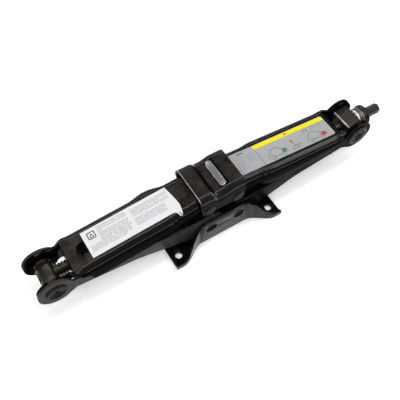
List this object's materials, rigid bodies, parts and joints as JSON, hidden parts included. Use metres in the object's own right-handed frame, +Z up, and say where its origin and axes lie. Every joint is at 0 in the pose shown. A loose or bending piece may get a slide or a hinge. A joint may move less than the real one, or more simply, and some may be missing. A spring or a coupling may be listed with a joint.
{
  "type": "scissor jack",
  "caption": "Folded screw-driven scissor jack: pressed-steel base, paired channel arms with meshed gear ends, saddle, cross screw with a hex drive.",
  "frame": {"origin": "centre of the base plate's underside, on the ground", "axes": "+Z up, +X along the screw towards the hex drive, +Y across the jack"},
  "size_m": [0.4156, 0.0846, 0.0695],
  "materials": {
    "black_paint": "gloss black paint, worn at the edges",
    "dark_steel": "dark oiled steel",
    "bare_steel": "bare steel, brownish film",
    "yellow_zinc": "greased, thinly zinc plated",
    "bright_steel": "ground bright",
    "cage_brass": "pressed",
    "zinc": "zinc plated",
    "white_film": "printed white label",
    "silver_film": "printed silver label"
  },
  "bodies": {
    "base": {"base_plate": "black_paint", "base_pin_left": "dark_steel", "base_pin_right": "dark_steel"},
    "lower_left": {"lower_arm_left": "black_paint"},
    "lower_right": {"lower_arm_right": "black_paint"},
    "upper_left": {"upper_arm_left": "black_paint", "rating_label": "white_film"},
    "upper_right": {"upper_arm_right": "black_paint", "instruction_label": "silver_film"},
    "saddle": {"saddle_bracket": "black_paint", "saddle_pin_left": "dark_steel", "saddle_pin_right": "dark_steel"},
    "nut": {"nut_trunnion": "dark_steel", "nut_washer_near": "dark_steel", "nut_washer_far": "dark_steel"},
    "thrust": {"thrust_trunnion": "bare_steel", "thrust_washer_near": "dark_steel", "thrust_washer_far": "dark_steel", "bearing_race_fixed": "bright_steel"},
    "screw": {"lead_screw": "yellow_zinc", "bearing_race_turning": "bright_steel", "bearing_cup": "zinc", "seal_washer": "dark_steel", "drive_head": "bare_steel", "drive_pin": "bright_steel"},
    "cage": {"bearing_balls": "bright_steel", "ball_cage": "cage_brass"}
  },
  "joints": [
    {"name": "lift", "type": "hinge", "parent": "base", "child": "lower_left", "pos_m": [-0.0165, 0, 0.0225], "axis": [0, 1, 0], "range_deg": [0, 60]},
    {"name": "lower_right_hinge", "type": "hinge", "parent": "base", "child": "lower_right", "pos_m": [0.0165, 0, 0.0225], "axis": [0, 1, 0], "range_deg": [-60, 0]},
    {"name": "upper_left_hinge", "type": "hinge", "parent": "lower_left", "child": "upper_left", "pos_m": [-0.177, 0, 0.03601], "axis": [0, 1, 0], "range_deg": [-120, 0]},
    {"name": "upper_right_hinge", "type": "hinge", "parent": "lower_right", "child": "upper_right", "pos_m": [0.177, 0, 0.03601], "axis": [0, 1, 0], "range_deg": [0, 120]},
    {"name": "saddle_hinge", "type": "hinge", "parent": "upper_left", "child": "saddle", "pos_m": [-0.0165, 0, 0.04951], "axis": [0, 1, 0], "range_deg": [0, 60]},
    {"name": "nut_hinge", "type": "hinge", "parent": "lower_left", "child": "nut", "pos_m": [-0.177, 0, 0.03601], "axis": [0, 1, 0], "range_deg": [-60, 0]},
    {"name": "thrust_hinge", "type": "hinge", "parent": "lower_right", "child": "thrust", "pos_m": [0.177, 0, 0.03601], "axis": [0, 1, 0], "range_deg": [0, 60]},
    {"name": "screw_spin", "type": "hinge", "parent": "thrust", "child": "screw", "pos_m": [0.177, 0, 0.03601], "axis": [1, 0, 0], "continuous": true},
    {"name": "cage_spin", "type": "hinge", "parent": "thrust", "child": "cage", "pos_m": [0.177, 0, 0.03601], "axis": [1, 0, 0], "continuous": true}
  ],
  "couplings": [
    {"joint": "lower_right_hinge", "follows": "lift", "ratio": -1},
    {"joint": "upper_left_hinge", "follows": "lift", "ratio": -2},
    {"joint": "upper_right_hinge", "follows": "lift", "ratio": 2},
    {"joint": "saddle_hinge", "follows": "lift", "ratio": 1},
    {"joint": "nut_hinge", "follows": "lift", "ratio": -1},
    {"joint": "thrust_hinge", "follows": "lift", "ratio": 1},
    {"joint": "cage_spin", "follows": "screw_spin", "ratio": 0.5}
  ]
}
